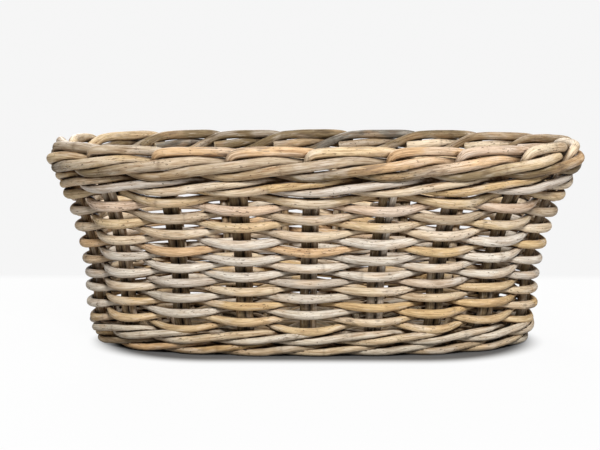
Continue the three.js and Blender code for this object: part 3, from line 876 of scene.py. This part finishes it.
# Stakes and bye-stakes
STAKE_FOOT = STAKE_RADIUS / 2
STRAIGHT_POINT_COUNT = 16
# The canes of these stakes make the back of the border
BACK_STAKES = (5, 11)
# How far up the slope the upper wale, the bye-stakes' tops and the border lie
WALE_DISTANCE = WOVEN + GAP + UPPER_WALE_LIFT + UPPER_RISE + UPPER_ROD_RADIUS * FLAT_SHARE
TOP_DISTANCE = WALE_DISTANCE + UPPER_RISE
BORDER_DISTANCE = TOP_DISTANCE + UPPER_ROD_RADIUS + GAP + BORDER_LIFT
UPPER_WALE_Z, BYE_STAKE_TOP_Z, BORDER_Z = height_at([WALE_DISTANCE, TOP_DISTANCE, BORDER_DISTANCE])


def upright_keys(space, shift, top_z):
    heights = np.linspace(STAKE_FOOT, top_z, STRAIGHT_POINT_COUNT)
    return wall_path(space, heights, 0.0, shift=shift)


def stake_canes(space):
    """The stake's one cane, up the wall and on through the border."""
    shares = np.array(BORDER_PATH_SHARES)
    rise, rise_facing = upright_keys(space, -STAKE_SHIFT, BORDER_Z)
    points, facing = wall_path(
        space + shares[:, 0], BORDER_Z, shares[:, 1] * BORDER_REACH, shares[:, 2] * BORDER_REACH,
        -shares[:, 3] * STAKE_SHIFT,
    )
    points, facing = rounded(np.concatenate([rise, points]), np.concatenate([rise_facing, facing]))
    in_border = smooth_step((path_lengths(points) - BORDER_Z) / BORDER_REACH)
    radius = STAKE_RADIUS * between(STAKE_RADIUS_SHARE, BORDER_RADIUS_SHARE, in_border)
    at_back = BACK_STAKES[0] <= space <= BACK_STAKES[1]
    tone = chosen(BACK_BORDER_TONES if at_back else BORDER_TONES)
    cane = finished_cane(points, facing, radius, tone, rng.uniform(*STAKE_BARK_SHARES))
    upright = 1 - smooth_step((cane["middle"][:, 2:] - BORDER_Z) / BORDER_REACH)
    low = linear(chosen(STAKE_TONES))
    cane["cane_colour"] = cane["cane_colour"] * (1 - upright) + low * upright
    return [cane]


def bye_stake_canes(space):
    points, facing = rounded(*upright_keys(space, BYE_STAKE_SHIFT, BYE_STAKE_TOP_Z))
    tones = (BLEACHED,) if space == PALE_BYE_STAKE else BYE_STAKE_TONES
    return [finished_cane(points, facing, BYE_STAKE_RADIUS * STAKE_RADIUS_SHARE, chosen(tones))]


# Wall weavers
JOIN_START = -0.17
JOIN_END = 0.17
JOIN_LEAVE = 0.3
CANE_SPANS = (6, 8, 8, 10, 12)
STRAND_STEPS_PER_SPACE = 40
SWING_FLATTENING_SHARE = 0.08
# Strands in front of a stake hang lower than behind it, more so near the foot than the rim
DROOP_SHARES = (0.18, 0.04)


def weaver_cut(index):
    strand = round(STRAND_START + (STRAND_END - STRAND_START) * index / WALL_WEAVER_COUNT)
    return strand + 1 if strand % 2 == 0 else strand


def row_distance(strands):
    """How far up the weave strands lie: level along a row, stepping up to the next at the step."""
    firsts = STRAND_START + np.arange(ROW_COUNT) * STAKE_COUNT
    keys = np.column_stack([firsts, firsts + STAKE_COUNT - 1]).ravel()
    return np.interp(strands, keys, np.repeat(ROW_DISTANCES, 2))


def weaver_swing(strands):
    """Share of the reach: 1 in front of a stake pair, -1 behind the next."""
    wave = np.cos(math.pi * strands)
    return wave * (1 + SWING_FLATTENING_SHARE * (1 - wave**2))


STRAND_NUMBERS = np.arange(STRAND_START - 2, STRAND_END + 3)
BULGE_SHARES = rng.uniform(1, 1 + 2 * SWING_SPREAD_SHARE, len(STRAND_NUMBERS))
BULGE_LIFTS = rng.uniform(-ROW_WANDER, ROW_WANDER, len(STRAND_NUMBERS))


def joined_strands(first, last):
    """Places along a cane from one stake to another, and a share that is 1 where its start lies inside."""
    strands = np.linspace(first + JOIN_START, last + JOIN_END, (last - first) * STRAND_STEPS_PER_SPACE)
    return strands, 1 - smooth_step((strands - first + JOIN_START) / JOIN_LEAVE)


def weaver_cane(first, last):
    """A cane from behind one stake to behind another, with its cut ends inside."""
    strands, inside = joined_strands(first, last)
    radius = weaver_diameter(strands) / 2
    swing = weaver_swing(strands)
    bulge = smooth_values(STRAND_NUMBERS, BULGE_SHARES, strands)
    out = swing * bulge * (STAKE_RADIUS + GAP + radius) - 2 * radius * inside
    droop = np.interp(strands, (STRAND_START, STRAND_END), DROOP_SHARES)
    lift = smooth_values(STRAND_NUMBERS, BULGE_LIFTS, strands) - droop * out
    points, facing = wall_path(strands, height_at(row_distance(strands)), out, lift)
    row = int(np.clip(((first + last) / 2 - STRAND_START) // STAKE_COUNT, 0, ROW_COUNT - 1))
    tones = (ROW_TONES[row],) * ROW_TONE_WEIGHT + STRAY_TONES[:: 1 + row % 2]
    thick = radius * between(CROSSING_RADIUS_SHARE, WEAVER_RADIUS_SHARE, swing**2)
    return finished_cane(points, facing, thick, chosen(tones), rng.uniform(*WEAVER_BARK_SHARES))


def wall_weaver_canes(weaver):
    canes = []
    first = weaver_cut(weaver)
    end = weaver_cut(weaver + 1)
    while first < end:
        last = min(first + CANE_SPANS[rng.integers(len(CANE_SPANS))], end)
        canes.append(weaver_cane(first, last))
        first = last
    return canes


# Wales
def above_floor(points, radius):
    """The path, raised where the cane at its thickest would reach below the floor."""
    thickest = radius * (1 + RADIUS_SPREAD_SHARE + RADIUS_WANDER_SHARE + KNOT_SWELLING_SHARE)
    raised = points.copy()
    raised[:, 2] = np.maximum(raised[:, 2], thickest + FLOOR_CLEARANCE)
    return raised


def wale_shares(spaces):
    """Shares of the reach and of the rise at places along a strand."""
    keys = np.array(WALE_PATH_SHARES, float)
    keys = np.concatenate([keys + np.array([turn * CANES_PER_WALE, 0, 0]) for turn in (-1, 0, 1, 2)])
    values = smooth_values(keys[:, 0], keys[:, 1:], np.mod(spaces, CANES_PER_WALE))
    return values[:, 0], values[:, 1]


def wale_canes(z, radius, rise, start_space, room, upright, rod, radius_share):
    """The canes of one rod, cut behind a stake."""
    reach = STAKE_RADIUS + room + radius
    thick = radius * radius_share
    first = (STAKE_COUNT * rod // CANES_PER_WALE) * CANES_PER_WALE
    last = (STAKE_COUNT * (rod + 1) // CANES_PER_WALE) * CANES_PER_WALE
    middle = first + ((last - first) // CANES_PER_WALE // 2) * CANES_PER_WALE
    canes = []
    for begin, end in ((first, middle), (middle, last)):
        strands, inside = joined_strands(begin, end)
        out_share, rise_share = wale_shares(strands)
        out = out_share * reach - 2 * radius * inside
        points, facing = wall_path(start_space + strands, z, out, rise_share * rise, upright=upright)
        tone = chosen(STRAY_TONES)
        canes.append(finished_cane(above_floor(points, thick), facing, thick, tone, WALE_BARK_SHARE))
    return canes


def lower_rod_canes(rod):
    level, place = divmod(rod, CANES_PER_WALE)
    z = FIRST_ROUND_Z + level * LOWER_ROUND_PITCH
    start = -level * CANES_PER_WALE
    return wale_canes(z, LOWER_ROD_RADIUS, LOWER_RISE, start, LOWER_ROOM, 1, place, LOWER_ROD_RADIUS_SHARE)


def upper_rod_canes(rod):
    return wale_canes(
        UPPER_WALE_Z, UPPER_ROD_RADIUS, UPPER_RISE, -CANES_PER_WALE, UPPER_ROOM, UPPER_UPRIGHT_SHARE, rod,
        UPPER_ROD_RADIUS_SHARE,
    )


# Base
BASE_SWING = (BASE_STICK_RADIUS + BASE_WEAVER_RADIUS + GAP) * BASE_SWING_SHARE
BASE_Z = BASE_FLOOR_GAP + BASE_WEAVER_RADIUS + BASE_SWING
BASE_ROW_PITCH = 2 * BASE_WEAVER_RADIUS + BASE_ROW_GAP
STICK_PITCH = 2 * BASE_STICK_RADIUS + GAP
LONG_GROUP_HALF = (BASE_LONG_STICK_COUNT - 1) / 2 * STICK_PITCH + BASE_STICK_RADIUS
BASE_INSET = LOWER_REACH + LOWER_ROD_RADIUS + BASE_WEAVER_RADIUS
BASE_FLARE_SHARE = PROFILE[1, 2] * FIRST_ROUND_Z / PROFILE[1, 0]
BASE_HALF_LENGTH = between(FOOT_HALF_LENGTH, RIM_HALF_LENGTH, BASE_FLARE_SHARE) - BASE_INSET
BASE_HALF_DEPTH = between(FOOT_HALF_DEPTH, RIM_HALF_DEPTH, BASE_FLARE_SHARE) - BASE_INSET
BASE_TURNS = int(((BASE_HALF_DEPTH - BASE_MIDDLE_HALF_DEPTH) / BASE_ROW_PITCH + 1) // BASE_WEAVER_COUNT)
BASE_ROW_COUNT = BASE_TURNS * BASE_WEAVER_COUNT


def ring_halves(ring):
    inset = (BASE_ROW_COUNT - 1 - ring) * BASE_ROW_PITCH
    return BASE_HALF_LENGTH - inset, BASE_HALF_DEPTH - inset


def crossing_angle(distance, half):
    return math.asin((distance / half) ** (OVAL_POWER / 2))


def depth_at(distance, half_length, half_depth):
    return half_depth * (1 - (distance / half_length) ** OVAL_POWER) ** (1 / OVAL_POWER)


BASE_STICK_SPACING = ring_halves(0)[0] * BASE_STICK_SHARE
OUTERMOST_STICK = (BASE_CROSS_STICK_COUNT - 1) / 2 * BASE_STICK_SPACING
HUMP_FOOT = depth_at(OUTERMOST_STICK, *ring_halves(0)) - BASE_WEAVER_RADIUS
HUMP_TOP = LONG_GROUP_HALF + GAP


def base_canes(points, facing, radius):
    """The one cane of a stick or weaver of the base, through a few points."""
    points, facing = rounded(np.array(points), np.tile(facing, (len(points), 1)))
    points = above_floor(points, radius)
    return [finished_cane(points, facing, radius, chosen(BASE_TONES), unevenness=GAP / 2)]


def long_stick_canes(stick):
    y = (stick - (BASE_LONG_STICK_COUNT - 1) / 2) * STICK_PITCH
    end = BASE_HALF_LENGTH + BASE_WEAVER_RADIUS
    points = [(x - RIM_SHIFT, y, BASE_Z) for x in np.linspace(-end, end, STRAIGHT_POINT_COUNT)]
    return base_canes(points, (0.0, 1.0, 0.0), BASE_STICK_RADIUS)


def cross_stick_canes(stick):
    """A stick that lies level but for a hump over the long sticks."""
    x = (stick - (BASE_CROSS_STICK_COUNT - 1) / 2) * BASE_STICK_SPACING
    end = depth_at(abs(x), BASE_HALF_LENGTH, BASE_HALF_DEPTH) + BASE_WEAVER_RADIUS
    half = [(HUMP_TOP, BASE_Z + STICK_PITCH), (HUMP_FOOT, BASE_Z), (end, BASE_Z)]
    line = [(-y, z) for y, z in reversed(half)] + half
    return base_canes([(x - RIM_SHIFT, y, z) for y, z in line], (1.0, 0.0, 0.0), BASE_STICK_RADIUS)


def ring_crossings(ring):
    """Where a ring crosses the sticks, as angle, side taken, and whether it is at the long sticks."""
    half_length, half_depth = ring_halves(ring)
    sticks = []
    for stick in range((BASE_CROSS_STICK_COUNT - 1) // 2 + 1):
        angle = crossing_angle(stick * BASE_STICK_SPACING, half_length)
        sticks.append((angle, 1 if stick % 2 == 0 else -1, False))
    group_angle = crossing_angle(LONG_GROUP_HALF, half_depth)
    side = -sticks[-1][1]
    half = [*sticks, (math.pi / 2 - group_angle, side, True), (math.pi / 2 + group_angle, side, True)]
    half += [(math.pi - angle, taken, False) for angle, taken, _ in reversed(sticks[1:])]
    return half + [(angle + math.pi, taken, at_end) for angle, taken, at_end in half]


def base_weaver_canes(weaver):
    """A weaver's one cane, round and round the base from its middle to its edge."""
    points = []

    def add_point(ring, angle, side):
        x, y = oval(np.array(angle), *ring_halves(ring))
        swing = side * (1 if weaver % 2 == 0 else -1) * BASE_SWING
        points.append((float(x) - RIM_SHIFT, float(y), BASE_Z + swing))

    for turn in range(BASE_TURNS):
        ring = turn * BASE_WEAVER_COUNT + weaver
        crossings = ring_crossings(ring)
        start = next(i for i, crossing in enumerate(crossings) if crossing[0] > math.pi / 2) + 1
        crossings = crossings[start:] + crossings[: start + 1]
        for (angle, side, at_end), (next_angle, _, next_at_end) in zip(crossings, crossings[1:]):
            is_last = next_angle == crossings[0][0]
            add_point(ring, angle, side)
            if at_end == next_at_end or (is_last and turn == BASE_TURNS - 1):
                continue
            next_angle += 0 if angle < next_angle else math.tau
            for corner in range(1, CORNER_POINTS + 1):
                share = corner / (CORNER_POINTS + 1)
                corner_ring = ring + (share * BASE_WEAVER_COUNT if is_last else 0)
                add_point(corner_ring, angle + (next_angle - angle) * share, 0)
    return base_canes(points, (0.0, 0.0, 1.0), BASE_WEAVER_RADIUS)


# Kinds of piece: name, how many, what makes their canes, slot
STAKE_KINDS = (
    ("stake", STAKE_COUNT, stake_canes, "stake_cane"),
    ("bye_stake", STAKE_COUNT, bye_stake_canes, "bye_stake_cane"),
)
OTHER_KINDS = (
    ("wall_weaver", WALL_WEAVER_COUNT, wall_weaver_canes, "weaver_cane"),
    ("lower_wale_rod", LOWER_WALE_ROUNDS * CANES_PER_WALE, lower_rod_canes, "wale_cane"),
    ("upper_wale_rod", CANES_PER_WALE, upper_rod_canes, "wale_cane"),
    ("base_long_stick", BASE_LONG_STICK_COUNT, long_stick_canes, "base_cane"),
    ("base_cross_stick", BASE_CROSS_STICK_COUNT, cross_stick_canes, "base_cane"),
    ("base_weaver", BASE_WEAVER_COUNT, base_weaver_canes, "base_cane"),
)


def build_basket():
    tree = sweep_tree()
    surfaces = {slot: cane_material(slot, *surface) for slot, surface in SURFACES.items()}
    copies = [(kind, stake) for stake in range(STAKE_COUNT) for kind in STAKE_KINDS]
    copies += [(kind, index) for kind in OTHER_KINDS for index in range(kind[1])]
    pieces = []
    for (name, count, canes_of, slot), index in copies:
        node_name = f"{name}_{index + 1:0{len(str(count))}d}"
        pieces.append((node_name, swept_mesh(node_name, canes_of(index), tree, surfaces[slot]), slot))
    note_openness([mesh for _, mesh, _ in pieces])
    for piece in pieces:
        place_piece(*piece)


# Floor, light and camera
FLOOR_HALF = 4.0
FLOOR_LINE = 0.353
FLOOR_LINE_SOFTNESS = 0.02
FLOOR_TONE = 0.5
FLOOR_ROUGHNESS = 0.9
# Shadow painted on the floor round the foot: its tone here, and below, its shift to the front and where it
# starts and ends
FOOT_SHADE_TONE = 0.12
FLOOR_GLOW_SHARE = 0.95
FOOT_SHADE_SHIFT = 0.022
FOOT_SHADE_START = -0.012
FOOT_SHADE_END = 0.016
BACKGROUND_TONE = 0.92
WORLD_STRENGTH = 0.17

# Lamps by name: place, size, power
LAMPS = {
    "front lamp": ((0.45, -2.15, 1.65), 0.8, 78.0),
    "top lamp": ((0.1, -0.3, 2.1), 1.1, 14.0),
    "back lamp": ((-0.6, 2.3, 1.3), 0.8, 55.0),
}


def grey(amount):
    return amount, amount, amount, 1.0


def floor_material():
    """White floor, bright to the camera but for a shadow painted round the foot, and the background behind
    it.
    """
    material, tree, surface = new_material("Floor")
    surface.inputs["Roughness"].default_value = FLOOR_ROUGHNESS
    seen = wired(tree, "ShaderNodeLightPath")["Is Camera Ray"]
    place = wired(tree, "ShaderNodeTexCoord")["Object"]
    depth = wired(tree, "ShaderNodeSeparateXYZ", Vector=place)["Y"]
    line = (FLOOR_LINE - FLOOR_LINE_SOFTNESS, FLOOR_LINE + FLOOR_LINE_SOFTNESS)
    behind = ranged(tree, depth, *line, shape="LINEAR")
    # Painted shadow: round the foot, shifted to the front, the floor's own tone is darker and its glow to
    # the camera is left off
    plan = vectors(tree, "ABSOLUTE", vectors(tree, "ADD", place, (0.0, FOOT_SHADE_SHIFT, 0.0)))
    plan = vectors(tree, "SUBTRACT", plan, (FOOT_HALF_LENGTH - FOOT_HALF_DEPTH, 0.0, 0.0))
    plan = vectors(tree, "MAXIMUM", plan)
    away = wired(tree, "ShaderNodeVectorMath", {"operation": "LENGTH"}, i0=plan)["Value"]
    foot_edge = FOOT_HALF_DEPTH + LOWER_REACH
    clear = ranged(tree, away, foot_edge + FOOT_SHADE_START, foot_edge + FOOT_SHADE_END)
    tone = mixed(tree, clear, grey(FOOT_SHADE_TONE), grey(FLOOR_TONE))
    tree.links.new(tone, surface.inputs["Base Color"])
    bright = number(tree, "MULTIPLY", seen, number(tree, "MULTIPLY", clear, FLOOR_GLOW_SHARE))
    white = wired(tree, "ShaderNodeEmission", Color=grey(1.0))[0]
    near = wired(tree, "ShaderNodeMixShader", i0=bright, i1=surface.outputs[0], i2=white)[0]
    far = wired(tree, "ShaderNodeEmission", Color=grey(BACKGROUND_TONE))[0]
    far_seen = number(tree, "MULTIPLY", behind, seen)
    both = wired(tree, "ShaderNodeMixShader", i0=far_seen, i1=near, i2=far)[0]
    tree.links.new(both, tree.nodes["Material Output"].inputs["Surface"])
    return material


def add_floor():
    corners = [(-1, -1), (1, -1), (1, 1), (-1, 1)]
    mesh = bpy.data.meshes.new("floor")
    mesh.from_pydata([(x * FLOOR_HALF, y * FLOOR_HALF, 0.0) for x, y in corners], [], [(0, 1, 2, 3)])
    mesh.materials.append(floor_material())
    add_object("floor", mesh)


def add_world():
    """Light from all round, and the background's tone to the camera."""
    world = bpy.data.worlds.new("Studio")
    bpy.context.scene.world = world
    world.use_nodes = True
    tree = world.node_tree
    tree.nodes.clear()
    seen = wired(tree, "ShaderNodeLightPath")["Is Camera Ray"]
    light = wired(tree, "ShaderNodeBackground", Color=grey(1.0), Strength=WORLD_STRENGTH)[0]
    shown = wired(tree, "ShaderNodeBackground", Color=grey(BACKGROUND_TONE), Strength=1.0)[0]
    both = wired(tree, "ShaderNodeMixShader", i0=seen, i1=light, i2=shown)[0]
    wired(tree, "ShaderNodeOutputWorld", Surface=both)


def add_lamp(name, place, size, power):
    """A round lamp that faces the middle of the basket."""
    lamp = bpy.data.lights.new(name, "AREA")
    lamp.shape = "DISK"
    lamp.size = size
    lamp.energy = power
    holder = add_object(name, lamp)
    holder.location = place
    middle = (cad_bounds[0] + cad_bounds[1]) / 2
    holder.rotation_euler = (middle - holder.location).to_track_quat("-Z", "Y").to_euler()


def add_camera():
    camera = bpy.data.cameras.new("camera")
    camera.lens = CAMERA_LENS
    camera.sensor_width = SENSOR_WIDTH
    holder = add_object("camera", camera)
    holder.location = CAMERA_PLACE
    holder.rotation_euler = (math.pi / 2 - CAMERA_PITCH, 0.0, CAMERA_YAW)
    bpy.context.scene.camera = holder


build_basket()
add_floor()
add_world()
for lamp_name, lamp_settings in LAMPS.items():
    add_lamp(lamp_name, *lamp_settings)
add_camera()
bpy.context.scene.view_settings.view_transform = "Standard"
